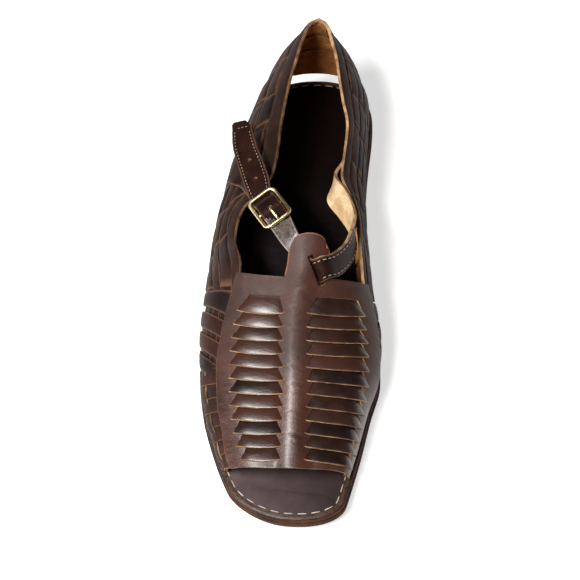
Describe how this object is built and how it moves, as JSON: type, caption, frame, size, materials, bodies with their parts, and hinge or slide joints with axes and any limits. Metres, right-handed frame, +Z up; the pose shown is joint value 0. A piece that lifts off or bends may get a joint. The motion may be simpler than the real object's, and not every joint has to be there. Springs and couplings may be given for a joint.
{
  "type": "huarache sandal",
  "caption": "Right-foot leather huarache sandal with a laced bar vamp, woven sides, open toe, low stacked heel and a buckled ankle strap.",
  "frame": {"origin": "centre of the heel's flat ground face", "axes": "+Z up off the ground, +Y from toe to heel, +X towards the inner (medial) side of the foot"},
  "size_m": [0.1066, 0.3079, 0.079],
  "materials": {
    "sole_leather": "waxed edge",
    "insole_leather": "worn smooth",
    "upper_leather": "smooth, waxed",
    "buckle_brass": "polished"
  },
  "bodies": {
    "root": {"outsole": "sole_leather", "heel": "sole_leather", "insole": "insole_leather", "upper": "upper_leather", "ankle_strap": "upper_leather", "buckle_strap": "upper_leather", "buckle_frame": "buckle_brass", "buckle_prong": "buckle_brass"}
  },
  "joints": []
}
